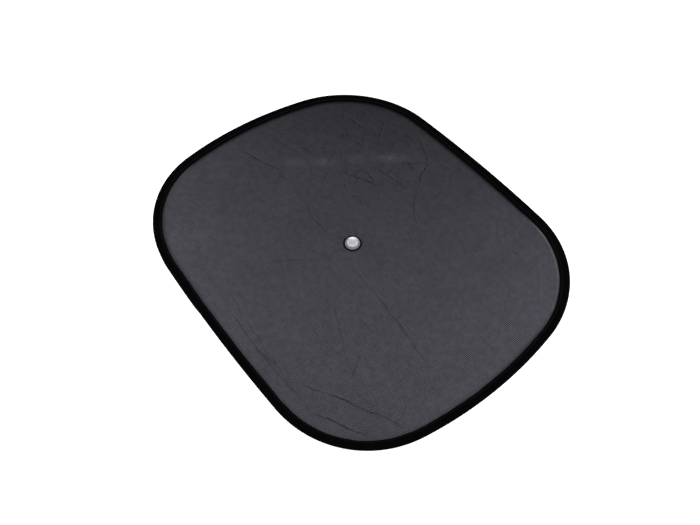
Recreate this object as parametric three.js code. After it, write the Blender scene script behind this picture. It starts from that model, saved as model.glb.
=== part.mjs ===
// Foldable car side window sunshade, lying eyelet side up with its suction cup below.
// Millimetres, +Z up. The origin is on the table under the middle of the hoop, with
// +X along the shade's length and +Y along its width.

import * as THREE from 'three';
import { ParametricGeometry } from 'three/addons/geometries/ParametricGeometry.js';

// Driving dimensions of the hoop's outline, measured over the binding
const SHADE_LENGTH = 440;
const SHADE_WIDTH = 365;
const CORNER_RADIUS = 121;
const LONG_SIDE_BOW = 2.5;
const SHORT_SIDE_BOW = 5.8;

// How the springy hoop lies: this is the rise of its saddle at the corner of the
// rectangle round the shade, so two corners stand up and the other two touch the table
const TWIST_RISE = 15.5;

// Mesh panel
const PANEL_THICKNESS = 0.4;
const FOLD_FADE = 26;

// Binding tape
const TAPE_THICKNESS = 0.5;
const BINDING_WIDTH = 10.7;
const SEAM_TO_RIM = 8;

// The tape isn't folded quite along its middle: its upper flap is wider, and its lower
// flap narrower, by this much on the side of the shade that lies in this direction
const TAPE_ROLL = 1.3;
const TAPE_ROLL_DIRECTION = THREE.MathUtils.degToRad(128);

// Wire hoop and the sleeve on its joint, which is placed as a share of the rim's length
const WIRE_DIAMETER = 2;
const WIRE_END_GAP = 1;
const WIRE_JOINT_AT = 0.7;
const SLEEVE_LENGTH = 24;
const SLEEVE_WALL = 0.35;
const SWELL_FADE = 18;

// Eyelet and its washer
const EYELET_OFFSET_X = -2.9;
const EYELET_OFFSET_Y = -3.5;
const EYELET_DIAMETER = 17.2;
const EYELET_BORE = 8.6;
const EYELET_SHEET = 0.35;
const FLANGE_RISE = 1.4;
const ROLL_RADIUS = 0.9;
const WASHER_DIAMETER = 16;
const WASHER_THICKNESS = 0.4;
const WASHER_CHAMFER = 0.15;

// Suction cup
const CUP_DIAMETER = 45;
const CUP_HEIGHT = 11.4;
const LIP_WIDTH = 2;
const LIP_THICKNESS = 0.7;
const HOLLOW_DEPTH = 6.2;
const CUP_WALL = 1.8;
const BOSS_DIAMETER = 14;
const HEAD_DIAMETER = 12.4;
const HEAD_EDGE = 0.5;
const HEAD_DOME = 1.4;

// Gaps: between loose neighbours, and between pieces that are clamped together
const CLEARANCE = 0.3;
const CLAMP_GAP = 0.1;

// Facets
const RIM_STEPS = 96;
const CLOTH_RINGS = 9;
const BEAD_DIVISIONS = 6;
const WIRE_SIDES = 8;
const SLEEVE_SIDES = 12;
const SLEEVE_STEPS = 2;
const EYELET_SIDES = 32;
const EYELET_DIVISIONS = 3;
const CUP_SIDES = 40;
const CUP_DIVISIONS = 4;

// Soft folds in the cloth: each runs between two points, given as shares of the half
// length and half width, and rises or, with a minus sign, dips by its height
const FOLD_SPREAD = 11;
const FOLDS = [
  { from: [0.41, -0.81], to: [0.89, -0.5], height: -0.7 },
  { from: [-0.14, -0.8], to: [0.55, -0.8], height: 0.6 },
  { from: [0.13, -0.12], to: [0.73, -0.18], height: -0.6 },
  { from: [0.14, -0.31], to: [0.55, -0.56], height: 0.5 },
  { from: [-0.46, 0.27], to: [-0.1, 0.51], height: 0.8 },
  { from: [-0.84, -0.14], to: [-0.58, -0.04], height: -0.6 },
  { from: [-0.7, 0.58], to: [-0.45, 0.65], height: -0.7 },
  { from: [-0.18, 0.75], to: [0.13, 0.36], height: -0.7 },
  { from: [-0.38, -0.04], to: [-0.1, -0.08], height: 0.5 },
];

// Sizes worked out from the driving dimensions
const HALF_LENGTH = SHADE_LENGTH / 2;
const HALF_WIDTH = SHADE_WIDTH / 2;
const WIRE_RADIUS = WIRE_DIAMETER / 2;
const TAPE_BORE_RADIUS = WIRE_RADIUS + CLEARANCE;
const BEAD_RADIUS = TAPE_BORE_RADIUS + TAPE_THICKNESS;
const FLAP_REACH = BINDING_WIDTH - BEAD_RADIUS;
const SEAM_INWARD = SEAM_TO_RIM - BEAD_RADIUS;
const FLAP_INNER = PANEL_THICKNESS / 2 + CLEARANCE;
const SLEEVE_BORE_RADIUS = WIRE_RADIUS + CLEARANCE;
const SLEEVE_RADIUS = SLEEVE_BORE_RADIUS + SLEEVE_WALL;
const SWELL = SLEEVE_RADIUS - WIRE_RADIUS;
const WIRE_JOINT = Math.round(WIRE_JOINT_AT * RIM_STEPS) / RIM_STEPS;
const PANEL_EDGE_INSET = BEAD_RADIUS + SLEEVE_RADIUS + CLEARANCE;
const CLOTH_EDGE_INSET = BINDING_WIDTH + TAPE_ROLL + CLEARANCE;

const BARREL_RADIUS = EYELET_BORE / 2 + EYELET_SHEET;
const PANEL_HOLE_RADIUS = BARREL_RADIUS + CLEARANCE;
const CLOTH_CLAMP_RADIUS = Math.max(EYELET_DIAMETER, WASHER_DIAMETER) / 2 + CLEARANCE;
const FLANGE_FOOT = PANEL_THICKNESS / 2 + CLAMP_GAP;
const FLANGE_TOP = FLANGE_FOOT + FLANGE_RISE + EYELET_SHEET / 2;
const WASHER_BOTTOM = -FLANGE_FOOT - WASHER_THICKNESS;
const ROLL_END = WASHER_BOTTOM - CLAMP_GAP;
const EYELET_BOTTOM = ROLL_END - ROLL_RADIUS - EYELET_SHEET / 2;

const PANEL_LEVEL = CUP_HEIGHT + CLEARANCE - EYELET_BOTTOM;
const NECK_RADIUS = EYELET_BORE / 2 - CLEARANCE;
const HEAD_FOOT = PANEL_LEVEL + FLANGE_TOP + CLEARANCE;

// Outline: eight arcs that meet smoothly, anticlockwise from the short side at +X
function outlineArcs() {
  const cornerX = HALF_LENGTH - SHORT_SIDE_BOW - CORNER_RADIUS;
  const cornerY = HALF_WIDTH - LONG_SIDE_BOW - CORNER_RADIUS;
  const longRadius = (cornerX ** 2 + (HALF_WIDTH - cornerY) ** 2 - CORNER_RADIUS ** 2)
    / (2 * LONG_SIDE_BOW);
  const shortRadius = (cornerY ** 2 + (HALF_LENGTH - cornerX) ** 2 - CORNER_RADIUS ** 2)
    / (2 * SHORT_SIDE_BOW);
  const longCentre = HALF_WIDTH - longRadius;
  const shortCentre = HALF_LENGTH - shortRadius;
  const shortEnd = Math.atan2(cornerY, cornerX - shortCentre);
  const longStart = Math.atan2(cornerY - longCentre, cornerX);
  const turn = Math.PI;
  return [
    { x: shortCentre, y: 0, radius: shortRadius, from: -shortEnd, to: shortEnd },
    { x: cornerX, y: cornerY, radius: CORNER_RADIUS, from: shortEnd, to: longStart },
    { x: 0, y: longCentre, radius: longRadius, from: longStart, to: turn - longStart },
    { x: -cornerX, y: cornerY, radius: CORNER_RADIUS, from: turn - longStart, to: turn - shortEnd },
    { x: -shortCentre, y: 0, radius: shortRadius, from: turn - shortEnd, to: turn + shortEnd },
    { x: -cornerX, y: -cornerY, radius: CORNER_RADIUS, from: turn + shortEnd, to: turn + longStart },
    { x: 0, y: -longCentre, radius: longRadius, from: turn + longStart, to: 2 * turn - longStart },
    { x: cornerX, y: -cornerY, radius: CORNER_RADIUS, from: 2 * turn - longStart, to: 2 * turn - shortEnd },
  ];
}

const ARCS = outlineArcs();
const ARC_LENGTHS = ARCS.map((arc) => (arc.radius - BEAD_RADIUS) * (arc.to - arc.from));
const RIM_LENGTH = ARC_LENGTHS.reduce((sum, length) => sum + length, 0);

// Point of the outline moved inwards by inset, and the outward direction there. The
// share runs from 0 to 1 along the wire, from the middle of the short side at +X.
function rimPoint(share, inset) {
  const start = ARC_LENGTHS[0] / 2;
  let along = THREE.MathUtils.euclideanModulo(share * RIM_LENGTH + start, RIM_LENGTH);
  let index = 0;
  while (index < ARCS.length - 1 && along > ARC_LENGTHS[index]) {
    along -= ARC_LENGTHS[index];
    index += 1;
  }
  const arc = ARCS[index];
  const angle = THREE.MathUtils.lerp(arc.from, arc.to, along / ARC_LENGTHS[index]);
  const out = new THREE.Vector2(Math.cos(angle), Math.sin(angle));
  const reach = arc.radius - inset;
  const point = new THREE.Vector2(arc.x + reach * out.x, arc.y + reach * out.y);
  return { point, out };
}

// The cloth's middle surface is a saddle that sinks a little from the eyelet, which
// the suction cup carries, to the hoop, whose low corners just touch the table
function saddleShape(x, y) {
  const along = x / HALF_LENGTH;
  const across = y / HALF_WIDTH;
  return { spread: along ** 2 + across ** 2, twist: along * across };
}

function hoopSink() {
  let sink = Infinity;
  for (let step = 0; step < RIM_STEPS; step += 1) {
    const { point } = rimPoint(step / RIM_STEPS, BEAD_RADIUS);
    const { spread, twist } = saddleShape(point.x, point.y);
    sink = Math.min(sink, (PANEL_LEVEL + TWIST_RISE * twist - BEAD_RADIUS) / spread);
  }
  return sink;
}

const HOOP_SINK = hoopSink();

function surfaceHeight(x, y) {
  const { spread, twist } = saddleShape(x, y);
  return PANEL_LEVEL - HOOP_SINK * spread + TWIST_RISE * twist;
}

// Height of the soft folds over the middle surface, before they fade out
function foldHeight(x, y) {
  const here = new THREE.Vector3(x, y, 0);
  const nearest = new THREE.Vector3();
  let height = 0;
  for (const fold of FOLDS) {
    const [start, end] = [fold.from, fold.to].map(
      ([along, across]) => new THREE.Vector3(along * HALF_LENGTH, across * HALF_WIDTH, 0),
    );
    new THREE.Line3(start, end).closestPointToPoint(here, true, nearest);
    const away = nearest.distanceTo(here) / FOLD_SPREAD;
    height += fold.height * Math.exp(-(away ** 2));
  }
  return height;
}

// Closed body that runs round the rim: sectionAt gives a ring of points for each share
function bodyRoundRim(sectionAt) {
  const sections = [];
  for (let step = 0; step < RIM_STEPS; step += 1) {
    sections.push(sectionAt(step / RIM_STEPS));
  }
  const count = sections[0].length;
  const surface = (u, v, target) => {
    const section = sections[Math.round(u * RIM_STEPS) % RIM_STEPS];
    target.copy(section[Math.round(v * count) % count]);
  };
  const geometry = new ParametricGeometry(surface, RIM_STEPS, count);
  geometry.computeVertexNormals();
  return geometry;
}

// Mesh panel: rings of points from the eyelet's hole to the edge inside the tape
function panelSection(share) {
  const clothEdge = rimPoint(share, CLOTH_EDGE_INSET).point;
  const panelEdge = rimPoint(share, PANEL_EDGE_INSET).point;
  const eyelet = new THREE.Vector2(EYELET_OFFSET_X, EYELET_OFFSET_Y);
  const ray = clothEdge.clone().sub(eyelet).normalize();
  const clampEdge = eyelet.clone().addScaledVector(ray, CLOTH_CLAMP_RADIUS);
  const reach = clampEdge.distanceTo(clothEdge);
  const middle = [eyelet.clone().addScaledVector(ray, PANEL_HOLE_RADIUS)];
  const folds = [0];
  for (let ring = 0; ring <= CLOTH_RINGS; ring += 1) {
    const part = ring / CLOTH_RINGS;
    const point = clampEdge.clone().lerp(clothEdge, part);
    const inFade = THREE.MathUtils.smoothstep(part * reach, 0, FOLD_FADE);
    const outFade = THREE.MathUtils.smoothstep((1 - part) * reach, 0, FOLD_FADE);
    middle.push(point);
    folds.push(foldHeight(point.x, point.y) * inFade * outFade);
  }
  middle.push(panelEdge);
  folds.push(0);
  const side = (offset) => middle.map((point, index) => new THREE.Vector3(
    point.x,
    point.y,
    surfaceHeight(point.x, point.y) + folds[index] + offset,
  ));
  const top = side(PANEL_THICKNESS / 2);
  const bottom = side(-PANEL_THICKNESS / 2);
  return [...bottom, ...top.reverse()];
}

// Edge binding: one tape folded round the wire, with a swell over the wire's joint
function swellAt(share) {
  const apart = Math.abs(THREE.MathUtils.euclideanModulo(share - WIRE_JOINT + 0.5, 1) - 0.5);
  const beyond = apart * RIM_LENGTH - SLEEVE_LENGTH / 2 - RIM_LENGTH / RIM_STEPS;
  return SWELL * (1 - THREE.MathUtils.smoothstep(beyond, 0, SWELL_FADE));
}

// Half turn of points round the wire's outer side, from below to above, as inward
// distance and height
function beadTurn(radius) {
  const points = [];
  for (let step = 0; step <= BEAD_DIVISIONS; step += 1) {
    const angle = Math.PI * (1.5 - step / BEAD_DIVISIONS);
    points.push([radius * Math.cos(angle), radius * Math.sin(angle)]);
  }
  return points;
}

function bindingSection(share) {
  const { point, out } = rimPoint(share, BEAD_RADIUS);
  const roll = TAPE_ROLL * Math.cos(out.angle() - TAPE_ROLL_DIRECTION);
  const swell = swellAt(share);
  const inner = FLAP_INNER;
  const outer = FLAP_INNER + TAPE_THICKNESS;
  const outside = beadTurn(BEAD_RADIUS + swell);
  const inside = beadTurn(TAPE_BORE_RADIUS + swell);
  const profile = [
    [FLAP_REACH - roll, -outer],
    [SEAM_INWARD, -outer],
    ...outside,
    [SEAM_INWARD, outer],
    [FLAP_REACH + roll, outer],
    [FLAP_REACH + roll, inner],
    [SEAM_INWARD, inner],
    ...inside.reverse(),
    [SEAM_INWARD, -inner],
    [FLAP_REACH - roll, -inner],
  ];
  return profile.map(([inward, height]) => {
    const x = point.x - out.x * inward;
    const y = point.y - out.y * inward;
    return new THREE.Vector3(x, y, surfaceHeight(x, y) + height);
  });
}

// Stretch of the hoop's centre line between two shares of its length
class HoopCurve extends THREE.Curve {
  constructor(from, to) {
    super();
    this.from = from;
    this.to = to;
  }

  getPoint(part, target = new THREE.Vector3()) {
    const { point } = rimPoint(THREE.MathUtils.lerp(this.from, this.to, part), BEAD_RADIUS);
    return target.set(point.x, point.y, surfaceHeight(point.x, point.y));
  }
}

function disc(radius) {
  return new THREE.Shape().absarc(0, 0, radius, 0, 2 * Math.PI, false);
}

function wireGeometry() {
  const half = WIRE_END_GAP / 2 / RIM_LENGTH;
  return new THREE.ExtrudeGeometry(disc(WIRE_RADIUS), {
    extrudePath: new HoopCurve(WIRE_JOINT + half, WIRE_JOINT + 1 - half),
    steps: RIM_STEPS,
    curveSegments: WIRE_SIDES / 2,
    bevelEnabled: false,
  });
}

function sleeveGeometry() {
  const half = SLEEVE_LENGTH / 2 / RIM_LENGTH;
  const section = disc(SLEEVE_RADIUS);
  section.holes.push(new THREE.Path().absarc(0, 0, SLEEVE_BORE_RADIUS, 0, 2 * Math.PI, true));
  return new THREE.ExtrudeGeometry(section, {
    extrudePath: new HoopCurve(WIRE_JOINT - half, WIRE_JOINT + half),
    steps: SLEEVE_STEPS,
    curveSegments: SLEEVE_SIDES / 2,
    bevelEnabled: false,
  });
}

// Body turned about the upright axis from a profile of radius and height
function turned(profile, sides) {
  const geometry = new THREE.LatheGeometry(profile, sides);
  geometry.rotateX(Math.PI / 2);
  return geometry;
}

// Closed outline of a sheet of even thickness that follows a line of points
function sheetOutline(line, thickness) {
  const left = [];
  const right = [];
  line.forEach((point, index) => {
    const before = line[Math.max(index - 1, 0)];
    const after = line[Math.min(index + 1, line.length - 1)];
    const way = after.clone().sub(before).normalize();
    const across = new THREE.Vector2(-way.y, way.x).multiplyScalar(thickness / 2);
    left.push(point.clone().add(across));
    right.push(point.clone().sub(across));
  });
  return [...right, ...left.reverse(), right[0].clone()];
}

// Eyelet: half-round flange, barrel through the cloth and end rolled out below
function eyeletProfile() {
  const wall = EYELET_BORE / 2 + EYELET_SHEET / 2;
  const rim = EYELET_DIAMETER / 2 - EYELET_SHEET / 2;
  const flangeHalf = (rim - wall) / 2;
  const line = new THREE.Path();
  line.absellipse(wall + flangeHalf, FLANGE_FOOT, flangeHalf, FLANGE_RISE, 0, Math.PI, false);
  line.lineTo(wall, ROLL_END);
  line.absarc(wall + ROLL_RADIUS, ROLL_END, ROLL_RADIUS, Math.PI, 2 * Math.PI, false);
  return sheetOutline(line.getPoints(EYELET_DIVISIONS), EYELET_SHEET);
}

function washerProfile() {
  const bore = BARREL_RADIUS + CLAMP_GAP;
  const rim = WASHER_DIAMETER / 2;
  const points = [
    [bore, -FLANGE_FOOT],
    [bore, WASHER_BOTTOM],
    [rim - WASHER_CHAMFER, WASHER_BOTTOM],
    [rim, WASHER_BOTTOM + WASHER_CHAMFER],
    [rim, -FLANGE_FOOT],
    [bore, -FLANGE_FOOT],
  ];
  return points.map(([radius, height]) => new THREE.Vector2(radius, height));
}

// Suction cup: hollow and lip below, then boss, neck and domed head up through the eyelet
function cupProfile() {
  const lipOuter = CUP_DIAMETER / 2;
  const lipInner = lipOuter - LIP_WIDTH;
  const boss = BOSS_DIAMETER / 2;
  const head = HEAD_DIAMETER / 2;
  const bossFoot = HOLLOW_DEPTH * (1 - (boss / lipInner) ** 2) + CUP_WALL;
  const domeBend = HOLLOW_DEPTH * (1 - (lipOuter * boss) / lipInner ** 2) + CUP_WALL;
  const line = new THREE.Path();
  line.moveTo(0, HOLLOW_DEPTH);
  line.quadraticCurveTo(lipInner / 2, HOLLOW_DEPTH, lipInner, 0);
  line.lineTo(lipOuter, 0);
  line.lineTo(lipOuter, LIP_THICKNESS);
  line.quadraticCurveTo((lipOuter + boss) / 2, domeBend, boss, bossFoot);
  line.lineTo(boss, CUP_HEIGHT);
  line.lineTo(NECK_RADIUS, CUP_HEIGHT);
  line.lineTo(NECK_RADIUS, HEAD_FOOT);
  line.lineTo(head, HEAD_FOOT);
  line.lineTo(head, HEAD_FOOT + HEAD_EDGE);
  line.absellipse(0, HEAD_FOOT + HEAD_EDGE, head, HEAD_DOME, 0, Math.PI / 2, false);
  return line.getPoints(CUP_DIVISIONS);
}

// Pieces, each with its own finish
function piece(name, geometry, finish) {
  const mesh = new THREE.Mesh(geometry, new THREE.MeshStandardMaterial(finish));
  mesh.name = name;
  return mesh;
}

const CLOTH = { color: 0x424147, roughness: 0.85, metalness: 0 };
const TAPE = { color: 0x060607, roughness: 0.95, metalness: 0 };
const SPRING_STEEL = { color: 0x8a8c90, roughness: 0.35, metalness: 1 };
const NICKEL = { color: 0xc9c8c4, roughness: 0.25, metalness: 1 };
const CLEAR_PLASTIC = { color: 0xd9dce2, roughness: 0.12, metalness: 0 };

const sunshade = new THREE.Group();
sunshade.add(
  piece('mesh_panel', bodyRoundRim(panelSection), CLOTH),
  piece('edge_binding', bodyRoundRim(bindingSection), TAPE),
  piece('spring_wire_hoop', wireGeometry(), SPRING_STEEL),
  piece('wire_sleeve', sleeveGeometry(), SPRING_STEEL),
);

const fitting = new THREE.Group();
fitting.position.set(EYELET_OFFSET_X, EYELET_OFFSET_Y, 0);
const eyelet = piece('eyelet', turned(eyeletProfile(), EYELET_SIDES), NICKEL);
const washer = piece('eyelet_washer', turned(washerProfile(), EYELET_SIDES), NICKEL);
eyelet.position.z = PANEL_LEVEL;
washer.position.z = PANEL_LEVEL;
fitting.add(eyelet, washer);
fitting.add(piece('suction_cup', turned(cupProfile(), CUP_SIDES), CLEAR_PLASTIC));
sunshade.add(fitting);

export default sunshade;
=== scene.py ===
"""Car side window sunshade: net cloth in a taped spring hoop, with a suction cup in an eyelet.

Shapes are worked out in millimetres and made into meshes in metres.
"""

import math

import bpy
import numpy as np
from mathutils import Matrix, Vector


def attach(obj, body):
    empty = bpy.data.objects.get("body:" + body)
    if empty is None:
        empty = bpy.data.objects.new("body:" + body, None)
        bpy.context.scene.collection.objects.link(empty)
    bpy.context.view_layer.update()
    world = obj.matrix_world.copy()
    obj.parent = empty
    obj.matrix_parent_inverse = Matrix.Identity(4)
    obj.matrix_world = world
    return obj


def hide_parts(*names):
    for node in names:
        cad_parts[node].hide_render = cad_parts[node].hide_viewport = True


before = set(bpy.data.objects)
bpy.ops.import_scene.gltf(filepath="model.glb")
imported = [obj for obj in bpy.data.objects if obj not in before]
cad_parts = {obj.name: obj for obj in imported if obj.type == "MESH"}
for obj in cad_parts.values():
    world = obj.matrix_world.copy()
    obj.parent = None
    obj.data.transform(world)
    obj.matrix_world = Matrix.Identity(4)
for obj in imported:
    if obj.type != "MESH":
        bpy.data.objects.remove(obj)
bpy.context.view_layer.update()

MM = 0.001
TURN = 2 * math.pi

# Steps round the rim in the CAD
CAD_RIM_STEPS = 96

# The hoop's outline over the binding, and how the hoop lies (as in the CAD)
HALF_LENGTH = 220.0
HALF_WIDTH = 182.5
CORNER_RADIUS = 121.0
LONG_SIDE_BOW = 2.5
SHORT_SIDE_BOW = 5.8
TWIST_RISE = 15.5
PANEL_LEVEL = 13.575

# Cloth
CLOTH_THICKNESS = 0.4
CLOTH_EDGE_INSET = 3.75
FLAP_EDGE_INSET = 12.3
HOLE_RADIUS = 4.95
CLAMP_RADIUS = 8.9
FOLD_SPREAD = 11.0
FOLD_FADE = 26.0
CLOTH_STEPS = 704
CLOTH_RINGS = 104
UNDER_STRIDE = 2
COVERED_RING_STEP = 3.8
NET_PITCH = 1.75
BROAD_WAVE = 0.14
PUCKER_HEIGHT = 0.2
GUTTER_DEPTH = 0.32
EYELET_PUCKER = 0.14

# Painted highlight along the cloth at the flap: middle and reach as shares of the
# rim, and strength
EDGE_HIGHLIGHT_PLACES = [(0.125, 0.07, 1.0), (0.6, 0.045, 0.45)]
EDGE_HIGHLIGHT_STRENGTH = 0.75

# Binding tape
BEAD_RADIUS = 1.8
TAPE_THICKNESS = 0.5
FLAP_REACH = 8.9
TAPE_ROLL = 1.3
TAPE_ROLL_DIRECTION = math.radians(128)
FLAP_HEIGHT = 1.0
SEAM_INWARD = 6.2
SEAM_PART = 0.65
EDGE_ROUND = 0.12
TAPE_STEPS = 1416
STITCHES = 354
SLEEVE_LENGTH = 24.0
SWELL = 0.65
SWELL_FADE = 18.0
RIB_PITCH = 0.8
PICK_PITCH = 0.6
WIRE_JOINT = 67 / CAD_RIM_STEPS

# Seam thread
THREAD_RADIUS = 0.2
THREAD_SIDES = 8
THREAD_STEPS_PER_STITCH = 10
TWIST_PITCH = 0.6

# Eyelet, washer and suction cup
EYELET_X = -2.9
EYELET_Y = -3.5
EYELET_RADIUS = 8.6
EYELET_BORE_RADIUS = 4.3
EYELET_SHEET = 0.35
FLANGE_RISE = 1.4
FLANGE_FOOT = 0.3
ROLL_RADIUS = 0.9
ROLL_END = -0.8
WASHER_RADIUS = 8.0
WASHER_BOTTOM = -0.7
CUP_RADIUS = 22.5
CUP_HEIGHT = 11.4
CUP_HOLLOW = 6.2
CUP_WALL = 1.8
LIP_WIDTH = 2.0
LIP_THICKNESS = 0.7
BOSS_RADIUS = 7.0
NECK_RADIUS = 4.0
HEAD_FOOT = 15.75
HEAD_RADIUS = 6.2
HEAD_EDGE = 0.5
HEAD_DOME = 1.4
SPIN_SIDES = 128

# Broad soft folds in the cloth (as in the CAD): two ends as shares of the half length
# and half width, and how far it rises or dips
FOLDS = [
    ((0.41, -0.81), (0.89, -0.5), -0.7),
    ((-0.14, -0.8), (0.55, -0.8), 0.6),
    ((0.13, -0.12), (0.73, -0.18), -0.6),
    ((0.14, -0.31), (0.55, -0.56), 0.5),
    ((-0.46, 0.27), (-0.1, 0.51), 0.8),
    ((-0.84, -0.14), (-0.58, -0.04), -0.6),
    ((-0.7, 0.58), (-0.45, 0.65), -0.7),
    ((-0.18, 0.75), (0.13, 0.36), -0.7),
    ((-0.38, -0.04), (-0.1, -0.08), 0.5),
]

# Sharp creases left by twist-folding: points along each, depth, half width, and strength of the
# painted shade in it
CREASES = [
    ([(-187, -26), (-158, -16), (-129, -6)], 0.34, 1.5, 0.9),
    ([(-129, -6), (-123, -23)], 0.24, 1.5, 0.5),
    ([(-96, 47), (-78, 55), (-46, 71)], 0.34, 1.5, 0.9),
    ([(-69, 85), (-38, 90), (-22, 93)], 0.32, 1.6, 0.8),
    ([(-160, 109), (-141, 112), (-118, 117)], 0.36, 1.8, 1.0),
    ([(-128, 146), (-111, 123), (-94, 104)], 0.3, 2.0, 0.8),
    ([(-136, 93), (-121, 90), (-109, 93)], 0.28, 2.0, 0.7),
    ([(-90, 158), (-60, 148), (-40, 137)], 0.3, 2.4, 0.7),
    ([(-40, 137), (-32, 122), (-23, 109)], 0.34, 1.8, 1.0),
    ([(-23, 109), (2, 80), (30, 66)], 0.3, 2.0, 0.6),
    ([(-40, 137), (-25, 146), (-5, 153)], 0.22, 1.8, 0.4),
    ([(-59, 107), (-51, 123), (-40, 137)], 0.3, 2.0, 0.7),
    ([(-84, -7), (-59, -17), (-21, -15)], 0.26, 1.8, 0.5),
    ([(-101, 38), (-90, 21)], 0.24, 1.8, 0.5),
    ([(-36, -86), (-25, -68), (-12, -50)], 0.2, 2.4, 0.3),
    ([(24, -22), (89, -25), (160, -33)], 0.28, 1.5, 0.6),
    ([(31, -56), (73, -79), (121, -102)], 0.22, 2.0, 0.35),
    ([(105, -77), (123, -104)], 0.24, 1.8, 0.5),
    ([(95, -145), (136, -120), (195, -91)], 0.34, 1.7, 0.9),
    ([(126, -153), (152, -139), (179, -123)], 0.36, 1.7, 1.0),
    ([(-31, -154), (40, -157), (126, -153)], 0.3, 1.6, 0.6),
    ([(-40, -143), (25, -150), (100, -153)], 0.22, 1.7, 0.35),
    ([(-174, 18), (-153, 24), (-141, 31)], 0.3, 2.2, 0.6),
]

CREASE_RELIEF = 0.55

# Distances from a crease are kept up to this far, and its painted shade on the cloth
# fades out between the two distances of the fade
CREASE_REACH = 8.0
CREASE_FADE = (3, 5.5)

# Patches of pale wear with a painted sheen, in a row across one corner: middle, half length and
# strength of each
WEAR_SHEEN_PATCHES = [
    ((-134, 14), 16, 0.5), ((-115, 41), 17, 0.7), ((-96, 73), 12, 0.4), ((-73, 107), 20, 0.7),
]
WEAR_SHEEN_HALF_WIDTH = 6.5
WEAR_SHEEN_WAY = (0.62, 0.785)

# Small creases scattered over the crumpled corner and, fainter, over the whole cloth:
# how many, ranges of x, y and length, and strength of the painted shade
SMALL_CREASES = [
    (36, (-150, -35), (20, 150), (7, 22), 1.0),
    (40, (-190, 190), (-150, 150), (12, 45), 0.42),
]


def smooth(value, low, high):
    """Smooth step from 0 at low to 1 at high."""
    part = np.clip((value - low) / (high - low), 0, 1)
    return part * part * (3 - 2 * part)


def ripple(place, waves):
    """Sum of a few waves that go a whole number of times round, each (turns, phase, share)."""
    return sum(share * np.sin(TURN * turns * place + phase) for turns, phase, share in waves)


def outline_arcs():
    """Eight arcs that meet smoothly, anticlockwise from the short side at +X."""
    corner_x = HALF_LENGTH - SHORT_SIDE_BOW - CORNER_RADIUS
    corner_y = HALF_WIDTH - LONG_SIDE_BOW - CORNER_RADIUS
    long_radius = (corner_x**2 + (HALF_WIDTH - corner_y) ** 2 - CORNER_RADIUS**2) / (
        2 * LONG_SIDE_BOW
    )
    short_radius = (corner_y**2 + (HALF_LENGTH - corner_x) ** 2 - CORNER_RADIUS**2) / (
        2 * SHORT_SIDE_BOW
    )
    long_centre = HALF_WIDTH - long_radius
    short_centre = HALF_LENGTH - short_radius
    a = math.atan2(corner_y, corner_x - short_centre)
    b = math.atan2(corner_y - long_centre, corner_x)
    half = math.pi
    return np.array([
        (short_centre, 0, short_radius, -a, a),
        (corner_x, corner_y, CORNER_RADIUS, a, b),
        (0, long_centre, long_radius, b, half - b),
        (-corner_x, corner_y, CORNER_RADIUS, half - b, half - a),
        (-short_centre, 0, short_radius, half - a, half + a),
        (-corner_x, -corner_y, CORNER_RADIUS, half + a, half + b),
        (0, -long_centre, long_radius, half + b, TURN - b),
        (corner_x, -corner_y, CORNER_RADIUS, TURN - b, TURN - a),
    ])


ARCS = outline_arcs()
ARC_LENGTHS = (ARCS[:, 2] - BEAD_RADIUS) * (ARCS[:, 4] - ARCS[:, 3])
RIM_LENGTH = float(ARC_LENGTHS.sum())


def rim(share, inset):
    """Points of the outline moved inwards by inset, and the outward directions there."""
    share = np.asarray(share, dtype=float)
    ends = np.cumsum(ARC_LENGTHS)
    along = np.mod(share * RIM_LENGTH + ARC_LENGTHS[0] / 2, RIM_LENGTH)
    index = np.minimum(np.searchsorted(ends, along), len(ends) - 1)
    arc = ARCS[index]
    part = (along - (ends - ARC_LENGTHS)[index]) / ARC_LENGTHS[index]
    angle = arc[:, 3] + part * (arc[:, 4] - arc[:, 3])
    out = np.stack([np.cos(angle), np.sin(angle)], axis=1)
    return arc[:, :2] + (arc[:, 2] - inset)[:, None] * out, out


def saddle(x, y):
    along, across = x / HALF_LENGTH, y / HALF_WIDTH
    return along**2 + across**2, along * across


def hoop_sink():
    spread, twist = saddle(*rim(np.arange(CAD_RIM_STEPS) / CAD_RIM_STEPS, BEAD_RADIUS)[0].T)
    return float(((PANEL_LEVEL + TWIST_RISE * twist - BEAD_RADIUS) / spread).min())


HOOP_SINK = hoop_sink()


def surface(x, y):
    """Height of the cloth's middle surface."""
    spread, twist = saddle(x, y)
    return PANEL_LEVEL - HOOP_SINK * spread + TWIST_RISE * twist


def near_line(x, y, points):
    """Signed distance from a bent line, and the share of its length at the nearest point."""
    points = np.array(points, dtype=float)
    steps = np.linalg.norm(np.diff(points, axis=0), axis=1)
    starts = np.concatenate([[0], np.cumsum(steps)])
    best = np.full(x.shape, 1e9)
    share = np.zeros(x.shape)
    side = np.ones(x.shape)
    for k, length in enumerate(steps):
        way = (points[k + 1] - points[k]) / length
        dx, dy = x - points[k, 0], y - points[k, 1]
        along = np.clip(dx * way[0] + dy * way[1], 0, length)
        away = np.hypot(dx - along * way[0], dy - along * way[1])
        closer = away < best
        best = np.where(closer, away, best)
        share = np.where(closer, (starts[k] + along) / starts[-1], share)
        side = np.where(closer, np.sign(way[0] * dy - way[1] * dx), side)
    return best * np.where(side == 0, 1, side), share


def bent(points):
    """Two points as they are, or a smooth curve through three."""
    points = np.array(points, dtype=float)
    if len(points) == 2:
        return points
    t = np.linspace(0, 1, 9)[:, None]
    middle = 2 * points[1] - (points[0] + points[2]) / 2
    return (1 - t) ** 2 * points[0] + 2 * t * (1 - t) * middle + t**2 * points[2]


# Meshes


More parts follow.
